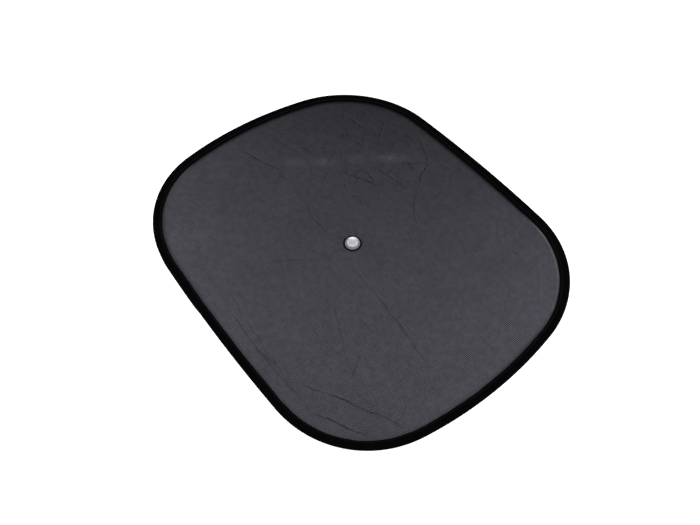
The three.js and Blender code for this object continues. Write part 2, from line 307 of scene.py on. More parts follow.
def make_piece(name, points, faces, material, attributes=()):
    """A mesh object from points in millimetres, riding on the part's one body."""
    mesh = bpy.data.meshes.new(name)
    mesh.from_pydata((np.asarray(points) * MM).tolist(), [], faces)
    mesh.update()
    mesh.polygons.foreach_set("use_smooth", [True] * len(mesh.polygons))
    for label, values in attributes:
        values = np.asarray(values, dtype=float)
        kind = "FLOAT" if values.ndim == 1 else "FLOAT_VECTOR"
        field = "value" if values.ndim == 1 else "vector"
        layer = mesh.attributes.new(label, kind, "POINT")
        layer.data.foreach_set(field, values.ravel())
    mesh.materials.append(material)
    piece = bpy.data.objects.new(name, mesh)
    bpy.context.scene.collection.objects.link(piece)
    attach(piece, "root")
    return piece


def ring_faces(rings, count, closed=False):
    """Quads between neighbouring rings of count points, each ring closed on itself."""
    faces = []
    for ring in range(rings if closed else rings - 1):
        a0 = ring * count
        b0 = ((ring + 1) % rings) * count
        for k in range(count):
            n = (k + 1) % count
            faces.append((a0 + k, a0 + n, b0 + n, b0 + k))
    return faces


def spin(profile, sides):
    """Points and faces of a profile of radius and height turned about the eyelet's axis."""
    profile = np.array(profile, dtype=float)
    angles = np.arange(sides) * TURN / sides
    points, rows = [], []
    for radius, height in profile:
        if radius < 1e-6:
            rows.append([len(points)])
            points.append((EYELET_X, EYELET_Y, height))
            continue
        rows.append(list(range(len(points), len(points) + sides)))
        points.extend(zip(
            EYELET_X + radius * np.cos(angles),
            EYELET_Y + radius * np.sin(angles),
            np.full(sides, height),
        ))
    faces = []
    closed = len(rows[0]) > 1
    for a, b in zip(rows, rows[1:] + rows[:1] if closed else rows[1:]):
        for k in range(sides):
            n = (k + 1) % sides
            if len(a) == 1:
                faces.append((a[0], b[k], b[n]))
            elif len(b) == 1:
                faces.append((a[n], a[k], b[0]))
            else:
                faces.append((a[n], a[k], b[k], b[n]))
    return points, faces


def arc_points(x, y, radius_x, radius_y, start, end, count):
    angles = np.radians(np.linspace(start, end, count))
    return [(x + radius_x * math.cos(a), y + radius_y * math.sin(a)) for a in angles]


def bend_points(start, control, end, count):
    t = np.linspace(0, 1, count)
    (x0, y0), (x1, y1), (x2, y2) = start, control, end
    return list(zip(
        (1 - t) ** 2 * x0 + 2 * t * (1 - t) * x1 + t**2 * x2,
        (1 - t) ** 2 * y0 + 2 * t * (1 - t) * y1 + t**2 * y2,
    ))


# Materials


class Look:
    """A node material, with short calls for the nodes used here."""

    def __init__(self, name, **sockets):
        self.material = bpy.data.materials.new(name)
        self.material.use_nodes = True
        self.tree = self.material.node_tree
        self.shader = self.tree.nodes["Principled BSDF"]
        for label, value in sockets.items():
            self.shader.inputs[label.replace("_", " ")].default_value = value

    def node(self, kind, inputs=(), **settings):
        made = self.tree.nodes.new(kind)
        for label, value in settings.items():
            setattr(made, label, value)
        for key, value in dict(inputs).items():
            self.put(made.inputs[key], value)
        return made

    def put(self, socket, value):
        if isinstance(value, bpy.types.NodeSocket):
            self.tree.links.new(value, socket)
        else:
            socket.default_value = value

    def math(self, operation, a, b=0.0, c=0.0):
        return self.node("ShaderNodeMath", {0: a, 1: b, 2: c}, operation=operation).outputs[0]

    def place(self):
        return self.node("ShaderNodeTexCoord").outputs["Object"]

    def attribute(self, name, vector=False):
        made = self.node("ShaderNodeAttribute", attribute_name=name)
        return made.outputs["Vector" if vector else "Fac"]

    def split(self, vector):
        return self.node("ShaderNodeSeparateXYZ", {0: vector}).outputs

    def noise(self, vector, scale, detail=2.0, rough=0.5):
        made = self.node(
            "ShaderNodeTexNoise",
            {"Vector": vector, "Scale": scale, "Detail": detail, "Roughness": rough},
        )
        return made.outputs["Fac"]

    def ramp(self, value, low, high, to_low=0.0, to_high=1.0):
        made = self.node(
            "ShaderNodeMapRange", {0: value, 1: low, 2: high, 3: to_low, 4: to_high}
        )
        return made.outputs[0]

    def mix(self, factor, a, b, blend="MIX"):
        made = self.node("ShaderNodeMix", data_type="RGBA", blend_type=blend)
        self.put(made.inputs["Factor"], factor)
        self.put([s for s in made.inputs if s.name == "A" and s.type == "RGBA"][0], a)
        self.put([s for s in made.inputs if s.name == "B" and s.type == "RGBA"][0], b)
        return [s for s in made.outputs if s.type == "RGBA"][0]

    def grey(self, value):
        """A colour of equal red, green and blue."""
        made = self.node("ShaderNodeCombineColor", {0: value, 1: value, 2: value})
        return made.outputs[0]

    def bump(self, height, distance):
        made = self.node(
            "ShaderNodeBump", {"Height": height, "Distance": distance, "Strength": 1.0}
        )
        self.put(self.shader.inputs["Normal"], made.outputs[0])

    def bell(self, value, middle, width):
        """Smooth peak of height 1 and the given half width."""
        away = self.math("DIVIDE", self.math("SUBTRACT", value, middle), width)
        return self.math("EXPONENT", self.math("MULTIPLY", self.math("MULTIPLY", away, away), -1.0))

    def wave(self, coordinate, pitch):
        """Cosine from 0 to 1 along a coordinate in metres, with its pitch in millimetres."""
        turns = self.math("MULTIPLY_ADD", coordinate, TURN / (pitch * MM), 0.0)
        return self.math("MULTIPLY_ADD", self.math("COSINE", turns), 0.5, 0.5)


# Colours of the cloth's threads and holes, and of the painted shade, painted highlights and pale
# wear with painted sheen on it
NET_THREAD = (0.036, 0.035, 0.0425, 1)
NET_HOLE = (0.109, 0.106, 0.127, 1)
CREASE_SHADOW = (0.012, 0.011, 0.017, 1)
CREASE_GLEAM = (0.16, 0.158, 0.175, 1)
WEAR_SHEEN_NET = (0.105, 0.103, 0.118, 1)
EDGE_HIGHLIGHT_NET = (0.3, 0.3, 0.31, 1)
SHADED_NET = (0.008, 0.0078, 0.010, 1)
EYELET_SHADOW_NET = (0.002, 0.002, 0.0025, 1)

# How far beyond the eyelet the painted shadow ring on the cloth is full, and where it ends
EYELET_SHADOW_FULL = 1.3
EYELET_SHADOW_END = 2.3

TAPE_BLACK = (0.0018, 0.0019, 0.0022, 1)
TAPE_LINT = (0.05, 0.05, 0.055, 1)
THREAD_BLACK = (0.008, 0.008, 0.0095, 1)
NICKEL_GREY = (0.66, 0.65, 0.64, 1)
STEEL_GREY = (0.42, 0.43, 0.45, 1)
PLASTIC_TINTS = (0.80, 0.785, 0.845, 1), (0.84, 0.825, 0.885, 1)


def net_cloth_look():
    """Knitted net: a square lattice of small holes between matt dark threads."""
    look = Look("net_cloth", Roughness=0.9, Specular_IOR_Level=0.12)
    place = look.place()
    x, y, _ = look.split(place)
    hole = look.math("MULTIPLY", look.wave(x, NET_PITCH), look.wave(y, NET_PITCH))
    hole = look.ramp(hole, 0.22, 0.62)
    threads = look.noise(place, 2600.0, 2.0)
    cloudy = look.noise(place, 22.0, 4.0, 0.55)
    colour = look.mix(hole, NET_THREAD, NET_HOLE)
    colour = look.mix(
        1.0, colour, look.grey(look.ramp(cloudy, 0.3, 0.7, 0.94, 1.06)), "MULTIPLY"
    )
    mottled = look.noise(place, 150.0, 3.0, 0.6)
    colour = look.mix(
        1.0, colour, look.grey(look.ramp(mottled, 0.3, 0.7, 0.87, 1.13)), "MULTIPLY"
    )
    # Painted light and shade: the tone attribute makes the cloth lighter towards +X, towards -Y and
    # on the two raised corners
    colour = look.mix(1.0, colour, look.grey(look.attribute("tone")), "MULTIPLY")
    colour = look.mix(
        1.0, colour, look.grey(look.ramp(threads, 0.2, 0.8, 0.85, 1.15)), "MULTIPLY"
    )
    # Painted shade along each crease, and a painted highlight beside it
    away = look.attribute("crease_away")
    depth = look.bell(away, 0.0, 0.85)
    crease = look.math("MULTIPLY", depth, look.attribute("crease_shade_strength"))
    colour = look.mix(look.math("MULTIPLY", crease, 0.92), colour, CREASE_SHADOW)
    lit = look.math("MULTIPLY", look.bell(away, 2.2, 1.3), look.attribute("crease_shade_strength"))
    colour = look.mix(look.math("MULTIPLY", lit, 0.07), colour, CREASE_GLEAM)
    # Pale wear with a painted sheen, in patches across one corner
    wear_sheen_noise = look.ramp(look.noise(place, 330.0, 5.0, 0.65), 0.3, 0.7)
    wear_sheen = look.math("MULTIPLY", look.attribute("wear_sheen"), wear_sheen_noise)
    colour = look.mix(wear_sheen, colour, WEAR_SHEEN_NET)
    # Painted highlight along the cloth at the flap, on two stretches of the rim
    colour = look.mix(look.attribute("edge_highlight"), colour, EDGE_HIGHLIGHT_NET)
    colour = look.mix(look.attribute("shade"), colour, SHADED_NET)
    middle = look.node(
        "ShaderNodeVectorMath",
        {0: place, 1: (EYELET_X * MM, EYELET_Y * MM, PANEL_LEVEL * MM)},
        operation="DISTANCE",
    ).outputs["Value"]
    # Painted shadow in a ring on the cloth round the eyelet
    pressed = look.ramp(
        middle, (EYELET_RADIUS + EYELET_SHADOW_END) * MM, (EYELET_RADIUS + EYELET_SHADOW_FULL) * MM
    )
    colour = look.mix(look.math("MULTIPLY", pressed, 0.97), colour, EYELET_SHADOW_NET)
    look.put(look.shader.inputs["Base Color"], colour)
    height = look.math("ADD", look.math("MULTIPLY", hole, -1.0), threads)
    look.bump(height, 0.00012)
    return look.material


def tape_look():
    """Black woven tape: fine ribs across it, matt."""
    look = Look("binding_tape", Roughness=0.95, Specular_IOR_Level=0.03)
    along, across, _ = look.split(look.attribute("tape_place", vector=True))
    ribs = look.wave(along, RIB_PITCH)
    picks = look.wave(across, PICK_PITCH)
    weave = look.math("MULTIPLY_ADD", picks, 0.5, ribs)
    lint = look.noise(look.place(), 900.0, 3.0)
    patch = look.noise(look.place(), 60.0, 3.0)
    tone = look.math(
        "MULTIPLY", look.ramp(weave, 0.0, 1.5, 0.6, 1.25), look.ramp(patch, 0.3, 0.7, 0.8, 1.25)
    )
    colour = look.mix(1.0, TAPE_BLACK, look.grey(tone), "MULTIPLY")
    colour = look.mix(look.ramp(lint, 0.66, 0.8, 0.0, 0.06), colour, TAPE_LINT)
    look.put(look.shader.inputs["Base Color"], colour)
    look.bump(look.math("MULTIPLY_ADD", lint, 0.3, weave), 0.00012)
    return look.material


def thread_look():
    """Black sewing thread of two twisted plies."""
    look = Look("seam_thread", Roughness=0.6, Specular_IOR_Level=0.2)
    along, across, _ = look.split(look.attribute("thread_place", vector=True))
    twist = look.math("MULTIPLY_ADD", along, TURN / (TWIST_PITCH * MM), across)
    plies = look.math("MULTIPLY_ADD", look.math("COSINE", twist), 0.5, 0.5)
    tone = look.grey(look.ramp(plies, 0.0, 1.0, 0.5, 1.2))
    colour = look.mix(1.0, THREAD_BLACK, tone, "MULTIPLY")
    look.put(look.shader.inputs["Base Color"], colour)
    look.bump(plies, 0.00006)
    return look.material


def metal_look(name, colour, roughness, scale):
    """Plated or drawn metal with faint handling marks."""
    look = Look(name, Metallic=1.0, Specular_IOR_Level=0.5)
    place = look.place()
    marks = look.noise(place, scale, 4.0, 0.6)
    fine = look.noise(place, scale * 9, 2.0)
    look.put(
        look.shader.inputs["Roughness"],
        look.ramp(marks, 0.3, 0.7, roughness * 0.8, roughness * 1.3),
    )
    tone = look.grey(look.ramp(marks, 0.3, 0.7, 0.93, 1.04))
    look.put(look.shader.inputs["Base Color"], look.mix(1.0, colour, tone, "MULTIPLY"))
    look.bump(fine, 0.000004)
    return look.material


def clear_plastic_look():
    """Clear soft moulded plastic that scatters a little of the light."""
    look = Look(
        "clear_plastic",
        Transmission_Weight=0.55,
        IOR=1.42,
        Specular_IOR_Level=0.5,
    )
    place = look.place()
    haze = look.noise(place, 260.0, 4.0, 0.6)
    look.put(look.shader.inputs["Roughness"], look.ramp(haze, 0.3, 0.7, 0.22, 0.28))
    tint = look.mix(look.ramp(haze, 0.3, 0.7), *PLASTIC_TINTS)
    look.put(look.shader.inputs["Base Color"], tint)
    look.bump(look.noise(place, 900.0, 2.0), 0.000002)
    return look.material


NET_CLOTH = net_cloth_look()
TAPE = tape_look()
THREAD = thread_look()
NICKEL = metal_look("nickel", NICKEL_GREY, 0.13, 420.0)
SPRING_STEEL = metal_look("spring_steel", STEEL_GREY, 0.3, 300.0)
CLEAR_PLASTIC = clear_plastic_look()


# Net cloth panel


def scattered_creases():
    """Small creases in drawn places, in the same form as the ones in CREASES."""
    draw = np.random.default_rng(11)
    made = []
    for count, across_x, across_y, lengths, dark in SMALL_CREASES:
        for _ in range(count):
            middle = np.array([draw.uniform(*across_x), draw.uniform(*across_y)])
            turn = draw.normal(-0.35, 0.75)
            half = draw.uniform(*lengths) / 2 * np.array([math.cos(turn), math.sin(turn)])
            bow = draw.normal(0, 0.12) * np.array([-half[1], half[0]])
            strength = dark * draw.uniform(0.4, 1.0)
            points = [middle - half, middle + bow, middle + half]
            made.append((points, 0.3 * strength, 1.6, strength))
    return made


def folds_height(x, y):
    """Broad soft folds, and a faint unevenness between them."""
    height = np.zeros(x.shape)
    for start, end, rise in FOLDS:
        ends = np.array([start, end]) * [HALF_LENGTH, HALF_WIDTH]
        away, _ = near_line(x, y, ends)
        height += rise * np.exp(-((away / FOLD_SPREAD) ** 2))
    broad = np.sin(x / 37.0 + 0.8) * np.cos(y / 29.0 - 0.4) + 0.6 * np.sin(x / 21.0 - y / 26.0)
    return height + BROAD_WAVE * broad


def stray(x, y):
    """How far a crease strays from its line, so that none is quite straight."""
    slow = 0.7 * np.sin(x / 9.0 + 1.3) * np.cos(y / 11.0) + 0.5 * np.sin(x / 4.1 - y / 5.3)
    return slow + 0.35 * np.sin(x / 1.9 + y / 2.7) * np.cos(x / 3.3 - y / 2.1)


def crease_fields(x, y, edge_fade):
    """Height that the creases add, signed distance from the nearest one, and the strength of their
    painted shade.
    """
    height = np.zeros(x.shape)
    nearest = np.full(x.shape, CREASE_REACH)
    darkening = np.zeros(x.shape)
    strayed = stray(x, y)
    for number, (points, depth, width, dark) in enumerate(CREASES + scattered_creases()):
        away, along = near_line(x, y, bent(points))
        away = away + strayed
        ends = np.sqrt(np.clip(np.sin(math.pi * along), 0, 1))
        uneven = 0.75 + 0.25 * np.sin(along * 23.0 + number * 1.7)
        valley = np.exp(-((away / width) ** 2))
        ridge = np.exp(-(((away - 1.7 * width) / (1.2 * width)) ** 2))
        height += CREASE_RELIEF * edge_fade * depth * ends * uneven * (0.3 * ridge - valley)
        closer = np.abs(away) < np.abs(nearest)
        nearest = np.where(closer, away, nearest)
        strength = dark * ends * uneven * edge_fade * (1 - smooth(np.abs(away), *CREASE_FADE))
        darkening = np.where(closer, strength, darkening)
    return height, nearest, darkening


def wear_sheen_strength(x, y):
    """How strong the pale wear and painted sheen on the net are, from 0 to 1."""
    wear_sheen = np.zeros(x.shape)
    for (middle_x, middle_y), half, strength in WEAR_SHEEN_PATCHES:
        dx, dy = x - middle_x, y - middle_y
        along = (dx * WEAR_SHEEN_WAY[0] + dy * WEAR_SHEEN_WAY[1]) / half
        across = (dy * WEAR_SHEEN_WAY[0] - dx * WEAR_SHEEN_WAY[1]) / WEAR_SHEEN_HALF_WIDTH
        wear_sheen = np.maximum(wear_sheen, strength * np.exp(-(along**2) - across**2))
    return wear_sheen


def edge_height(share, from_flap):
    """A shallow gutter inside the binding, with tension puckers across it."""
    puckers = ripple(share, [(61, 0.4, 0.5), (83, 2.1, 0.35), (47, 4.0, 0.4), (131, 1.0, 0.2)])
    strength = 0.75 + 0.5 * ripple(share, [(3, 1.1, 0.6), (5, 0.3, 0.4)])
    gutter = smooth(from_flap, -2, 3) * np.exp(-np.clip(from_flap, 0, None) / 7.0)
    return gutter * (PUCKER_HEIGHT * puckers * strength - GUTTER_DEPTH)


def eyelet_height(x, y, from_clamp):
    """Small puckers round the eyelet."""
    turn = np.arctan2(y - EYELET_Y, x - EYELET_X)
    near = smooth(from_clamp, 0, 2.5) * np.exp(-np.clip(from_clamp, 0, None) / 5.0)
    return near * EYELET_PUCKER * (np.sin(7 * turn + 0.5) + 0.6 * np.sin(12 * turn + 2.0))


def edge_looks(x, y, share, from_flap):
    """Painted highlight along the cloth at the flap, and the painted shade that the binding throws.
    """
    toward_roll = np.cos(np.arctan2(y, x) - TAPE_ROLL_DIRECTION)
    from_tape = from_flap + TAPE_ROLL * (1 - toward_roll)
    places = np.zeros(x.shape)
    for middle, reach, most in EDGE_HIGHLIGHT_PLACES:
        apart = np.abs(np.mod(share - middle + 0.5, 1) - 0.5)
        places = np.maximum(places, most * (1 - smooth(apart, reach * 0.5, reach)))
    # Painted highlight just inside the flap
    edge_highlight = EDGE_HIGHLIGHT_STRENGTH * places * np.exp(-(((from_tape - 0.3) / 0.9) ** 2))
    # The shade is deepest where the upper flap is widest
    shade = (0.6 + 0.4 * toward_roll) * np.exp(-((np.clip(from_tape, 0, None) / 2.4) ** 2))
    return edge_highlight, shade * (1 - 0.6 * places)


def cloth_relief(x, y, share, from_clamp, from_flap):
    """Height over the middle surface, and what the cloth's look needs to know."""
    fade = smooth(from_clamp, 0, FOLD_FADE) * smooth(from_flap, 0, FOLD_FADE)
    edge_fade = smooth(from_clamp, 0, 4) * smooth(from_flap, 0, 3)
    creases, crease_away, crease_shade_strength = crease_fields(x, y, edge_fade)
    relief = fade * folds_height(x, y) + creases
    relief += edge_height(share, from_flap) + eyelet_height(x, y, from_clamp)
    edge_highlight, shade = edge_looks(x, y, share, from_flap)
    # Painted light and shade: the cloth's colour is lighter towards +X, towards -Y and on the two
    # raised corners
    tone = 1.02 + 0.00088 * x - 0.00103 * y + 0.26 * (x / 200) * (y / 200)
    return relief, crease_away, crease_shade_strength, wear_sheen_strength(x, y), edge_highlight, shade, tone


CLOTH_LOOKS = ("crease_away", "crease_shade_strength", "wear_sheen", "edge_highlight", "shade", "tone")


def cloth_piece():
    """The cloth's mesh, the length and width of its flat piece and its flat area."""
    share = np.arange(CLOTH_STEPS) / CLOTH_STEPS
    flap_edge, _ = rim(share, FLAP_EDGE_INSET)
    cloth_edge, _ = rim(share, CLOTH_EDGE_INSET)
    centre = np.array([EYELET_X, EYELET_Y])
    ray = flap_edge - centre
    reach = np.linalg.norm(ray, axis=1)
    ray = ray / reach[:, None]
    reach = reach - CLAMP_RADIUS
    # Each ring's points, its share of the way from the clamp to the flap, and that way's
    # length; rings under the eyelet count as -1 and rings under the flap as 2 and 3
    clamped = (HOLE_RADIUS, (HOLE_RADIUS + CLAMP_RADIUS) / 2)
    rows = [(centre + ray * radius, -1.0, None) for radius in clamped]
    inner_rings = CLOTH_RINGS - 4
    for ring in range(inner_rings + 1):
        part = ring / inner_rings
        rows.append((centre + ray * (CLAMP_RADIUS + part * reach)[:, None], part, reach))
    rows.append(((flap_edge + cloth_edge) / 2, 2.0, None))
    rows.append((cloth_edge, 3.0, None))
    xy = np.array([row[0] for row in rows])
    from_clamp, from_flap = [], []
    for _, part, length in rows:
        if part < 0:
            from_clamp.append(np.full(CLOTH_STEPS, -1.0))
            from_flap.append(np.full(CLOTH_STEPS, 100.0))
        elif part > 1:
            from_clamp.append(np.full(CLOTH_STEPS, 100.0))
            from_flap.append(np.full(CLOTH_STEPS, -COVERED_RING_STEP * (part - 1)))
        else:
            from_clamp.append(part * length)
            from_flap.append((1 - part) * length)
    from_clamp, from_flap = np.array(from_clamp), np.array(from_flap)
    x, y = xy[..., 0], xy[..., 1]
    shares = np.broadcast_to(share, x.shape)
    relief, *looks = cloth_relief(x, y, shares, from_clamp, from_flap)
    top = surface(x, y) + relief + CLOTH_THICKNESS / 2
    low = top.copy()
    low[1:] = np.minimum(low[1:], top[:-1])
    low[:-1] = np.minimum(low[:-1], top[1:])
    keep = sorted(set(range(0, len(rows), UNDER_STRIDE)) | {len(rows) - 1})
    under = low[keep] - CLOTH_THICKNESS
    tops = np.stack([x, y, top], axis=-1)
    bottoms = np.stack([x[keep], y[keep], under], axis=-1)[::-1]
    points = np.concatenate([tops.reshape(-1, 3), bottoms.reshape(-1, 3)])
    faces = [f[::-1] for f in ring_faces(len(rows) + len(keep), CLOTH_STEPS, closed=True)]

    def both(field):
        return np.concatenate([field.ravel(), field[keep][::-1].ravel()])

    edge_x, edge_y = cloth_edge.T
    area = 0.5 * abs(np.sum(edge_x * np.roll(edge_y, -1) - edge_y * np.roll(edge_x, -1)))
    area -= math.pi * HOLE_RADIUS**2
    piece = make_piece(
        "shade_cloth", points, faces, NET_CLOTH,
        [(label, both(values)) for label, values in zip(CLOTH_LOOKS, looks)],
    )
    size = 2 * np.abs(cloth_edge).max(axis=0)
    return piece, size, area


cloth, cloth_size, cloth_area = cloth_piece()
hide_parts("mesh_panel")


# Binding tape and its seam


def swell_at(share):
    """How much the bead swells over the sleeve on the wire's joint."""
    apart = np.abs(np.mod(share - WIRE_JOINT + 0.5, 1) - 0.5)
    beyond = apart * RIM_LENGTH - SLEEVE_LENGTH / 2 - RIM_LENGTH / CAD_RIM_STEPS
    return SWELL * (1 - smooth(beyond, 0, SWELL_FADE))


def tape_piece():
    """The folded tape: one profile of flaps and bead carried round the rim."""
    share = np.arange(TAPE_STEPS) / TAPE_STEPS
    point, out = rim(share, BEAD_RADIUS)
    roll = TAPE_ROLL * np.cos(np.arctan2(out[:, 1], out[:, 0]) - TAPE_ROLL_DIRECTION)
    swell = swell_at(share)
    wavy = ripple(share, [(29, 0.3, 0.5), (53, 1.9, 0.4), (17, 4.2, 0.5), (97, 2.2, 0.25)])
    loose = ripple(share, [(41, 1.3, 0.5), (23, 0.2, 0.5), (71, 3.2, 0.3)])
    stitch = 0.5 + 0.5 * np.cos(TURN * share * STITCHES)

    def section(radius, side):
        """Inward place and height of points from the flap edge to the bead's outer side."""
        rows = []
        flat = FLAP_HEIGHT - (BEAD_RADIUS - radius)
        for part in np.linspace(1, 0, 15):
            past_seam = max(part - SEAM_PART, 0) / (1 - SEAM_PART)
            before_seam = min(part / SEAM_PART, 1)
            edge_reach = FLAP_REACH - EDGE_ROUND + side * roll - SEAM_INWARD + 0.16 * loose
            inward = SEAM_INWARD * before_seam + edge_reach * past_seam
            taper = float(smooth(1 - before_seam, 0, 1))
            height = flat + (radius + swell - flat) * taper
            dent = np.exp(-(((inward - SEAM_INWARD) / 0.8) ** 2)) * (0.1 + 0.12 * stitch)
            lift = np.maximum(0.14 * wavy * past_seam * side, -0.1)
            rows.append((inward, side * (height - dent + lift)))
        for angle in np.radians(np.linspace(90, 180, 7)[1:]):
            bead = radius + swell
            rows.append((bead * math.cos(angle), side * bead * math.sin(angle)))
        return rows

    def edge(outer, inner):
        return ((outer[0] + inner[0]) / 2 + EDGE_ROUND, (outer[1] + inner[1]) / 2)

    outer_top = section(BEAD_RADIUS, 1)
    outer_low = section(BEAD_RADIUS, -1)
    inner_top = section(BEAD_RADIUS - TAPE_THICKNESS, 1)
    inner_low = section(BEAD_RADIUS - TAPE_THICKNESS, -1)
    profile = (
        outer_low + outer_top[:-1][::-1] + [edge(outer_top[0], inner_top[0])]
        + inner_top[:-1] + inner_low[::-1] + [edge(outer_low[0], inner_low[0])]
    )
    columns = []
    across = []
    travelled = 0.0
    last = None
    for inward, height in profile:
        inward = np.broadcast_to(np.asarray(inward, dtype=float), share.shape)
        height = np.broadcast_to(np.asarray(height, dtype=float), share.shape)
        xy = point - out * inward[:, None]
        columns.append(np.column_stack([xy, surface(*xy.T) + height]))
        here = (float(inward.mean()), float(height.mean()))
        travelled += math.dist(here, last) if last else 0.0
        last = here
        across.append(travelled)
    points = np.stack(columns, axis=1).reshape(-1, 3)
    count = len(profile)
    faces = ring_faces(TAPE_STEPS, count, closed=True)
    # The pattern along the tape closes on itself: a whole number of ribs fits the rim
    ribs = round(RIM_LENGTH / RIB_PITCH)
    along = np.repeat(share * ribs * RIB_PITCH, count)
    place = np.stack([along, np.tile(across, TAPE_STEPS), np.zeros(len(along))], axis=1) * MM
    return make_piece("binding_tape", points, faces, TAPE, [("tape_place", place)])


def seam_piece(name, side):
    """One thread of the lockstitch: it lies on the tape and dips into it between stitches."""
    steps = STITCHES * THREAD_STEPS_PER_STITCH
    share = np.arange(steps) / steps
    point, out = rim(share, BEAD_RADIUS + SEAM_INWARD)
    phase = np.mod(share * STITCHES, 1)
    lift = 1 - np.abs(2 * phase - 1) ** 5
    height = FLAP_HEIGHT - 0.38 + 0.42 * lift
    sway = 0.05 * ripple(share, [(37, 0.2, 1.0), (89, 1.2, 0.6)])
    xy = point - out * sway[:, None]
    middle = np.column_stack([xy, surface(*xy.T) + side * height])
    way = np.roll(middle, -1, axis=0) - np.roll(middle, 1, axis=0)
    way /= np.linalg.norm(way, axis=1)[:, None]
    across = np.concatenate([out, np.zeros((steps, 1))], axis=1)
    across -= way * np.sum(across * way, axis=1)[:, None]
    across /= np.linalg.norm(across, axis=1)[:, None]
    up = np.cross(across, way)
    angles = np.arange(THREAD_SIDES) * TURN / THREAD_SIDES
    ring = [middle + THREAD_RADIUS * (math.cos(a) * across + math.sin(a) * up) for a in angles]
    points = np.stack(ring, axis=1).reshape(-1, 3)
    faces = ring_faces(steps, THREAD_SIDES, closed=True)
    place = np.stack([
        np.repeat(share * RIM_LENGTH * MM, THREAD_SIDES),
        np.tile(angles, steps),
        np.zeros(steps * THREAD_SIDES),
    ], axis=1)
    return make_piece(name, points, faces, THREAD, [("thread_place", place)])


tape = tape_piece()
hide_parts("edge_binding")
seam_top = seam_piece("seam_thread_top", 1)
seam_bottom = seam_piece("seam_thread_bottom", -1)


# Eyelet, washer and suction cup


def eyelet_profile():
    """Closed outline of the pressed sheet: flange, barrel and rolled end."""
    wall = EYELET_BORE_RADIUS + EYELET_SHEET / 2
    rim_radius = EYELET_RADIUS - EYELET_SHEET / 2
    half = (rim_radius - wall) / 2
    line = arc_points(wall + half, FLANGE_FOOT, half, FLANGE_RISE, 0, 180, 25)
    line += [(wall, h) for h in np.linspace(FLANGE_FOOT, ROLL_END, 5)[1:]]
    line += arc_points(wall + ROLL_RADIUS, ROLL_END, ROLL_RADIUS, ROLL_RADIUS, 180, 360, 15)[1:]
    line = np.array(line)
    way = np.gradient(line, axis=0)
    way /= np.linalg.norm(way, axis=1)[:, None]
    across = np.stack([-way[:, 1], way[:, 0]], axis=1) * EYELET_SHEET / 2
    tip = line[-1] + way[-1] * EYELET_SHEET * 0.35
    heel = line[0] - way[0] * EYELET_SHEET * 0.35
    right, left = line - across, line + across
    return np.concatenate([[heel], right, [tip], left[::-1]])


def washer_profile():
    """A flat ring with a chamfered outer edge."""
    bore = EYELET_BORE_RADIUS + EYELET_SHEET + 0.1
    chamfer = 0.15
    top = -FLANGE_FOOT
    return [
        (bore, top - 0.05), (bore, WASHER_BOTTOM + 0.05), (bore + 0.05, WASHER_BOTTOM),
        (WASHER_RADIUS - chamfer, WASHER_BOTTOM), (WASHER_RADIUS, WASHER_BOTTOM + chamfer),
        (WASHER_RADIUS, top - 0.05), (WASHER_RADIUS - 0.05, top), (bore + 0.05, top),
    ]


def cup_profile():
    """From the middle of the hollow, round the lip and up the outside to the head's crown."""
    lip_inner = CUP_RADIUS - LIP_WIDTH
    boss_foot = CUP_HOLLOW * (1 - (BOSS_RADIUS / lip_inner) ** 2) + CUP_WALL
    bend = CUP_HOLLOW * (1 - (CUP_RADIUS * BOSS_RADIUS) / lip_inner**2) + CUP_WALL
    corner = 0.25
    fillet = 0.9
    line = bend_points((0, CUP_HOLLOW), (lip_inner / 2, CUP_HOLLOW), (lip_inner, 0), 25)
    line += arc_points(CUP_RADIUS - corner, corner, corner, corner, -90, 0, 5)
    line += arc_points(CUP_RADIUS - corner, LIP_THICKNESS - corner, corner, corner, 0, 90, 5)
    outside = bend_points(
        (CUP_RADIUS, LIP_THICKNESS), ((CUP_RADIUS + BOSS_RADIUS) / 2, bend),
        (BOSS_RADIUS, boss_foot), 30,
    )
    line += [p for p in outside[1:] if p[0] > BOSS_RADIUS + fillet]
    line += arc_points(BOSS_RADIUS + fillet, boss_foot + fillet * 0.9, fillet, fillet, 250, 180, 6)
    line += arc_points(BOSS_RADIUS - 0.4, CUP_HEIGHT - 0.4, 0.4, 0.4, 0, 90, 6)
    line += arc_points(NECK_RADIUS + 0.25, CUP_HEIGHT + 0.25, 0.25, 0.25, 270, 180, 5)
    line += arc_points(NECK_RADIUS + 0.2, HEAD_FOOT - 0.2, 0.2, 0.2, 180, 90, 4)
    line += arc_points(HEAD_RADIUS - 0.25, HEAD_FOOT + 0.25, 0.25, 0.25, -90, 0, 6)
    line += arc_points(0, HEAD_FOOT + HEAD_EDGE, HEAD_RADIUS, HEAD_DOME, 0, 90, 24)
    line[-1] = (0, HEAD_FOOT + HEAD_EDGE + HEAD_DOME)
    return line


def spun_piece(name, profile, rise, look):
    """A piece turned about the eyelet's axis from a profile, lifted by rise."""
    profile = [(radius, height + rise) for radius, height in profile]
    points, faces = spin(profile, SPIN_SIDES)
    return make_piece(name, points, faces, look)


eyelet = spun_piece("eyelet_spun", eyelet_profile(), PANEL_LEVEL, NICKEL)
washer = spun_piece("washer_spun", washer_profile(), PANEL_LEVEL, NICKEL)
cup = spun_piece("cup_moulding", cup_profile(), 0.0, CLEAR_PLASTIC)
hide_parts("eyelet")
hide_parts("eyelet_washer")
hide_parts("suction_cup")

# The hidden wire and its sleeve keep their CAD shapes
for name in ("spring_wire_hoop", "wire_sleeve"):
    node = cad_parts[name]
    node.data.materials.clear()
    node.data.materials.append(SPRING_STEEL)


# Studio

WORLD_LIGHT = 0.3
FLOOR_WHITE = (0.88, 0.88, 0.88, 1)
FLOOR_GLOW = 0.74
FLOOR_REACH = 6.0
FLOOR_LEVEL = -0.0003

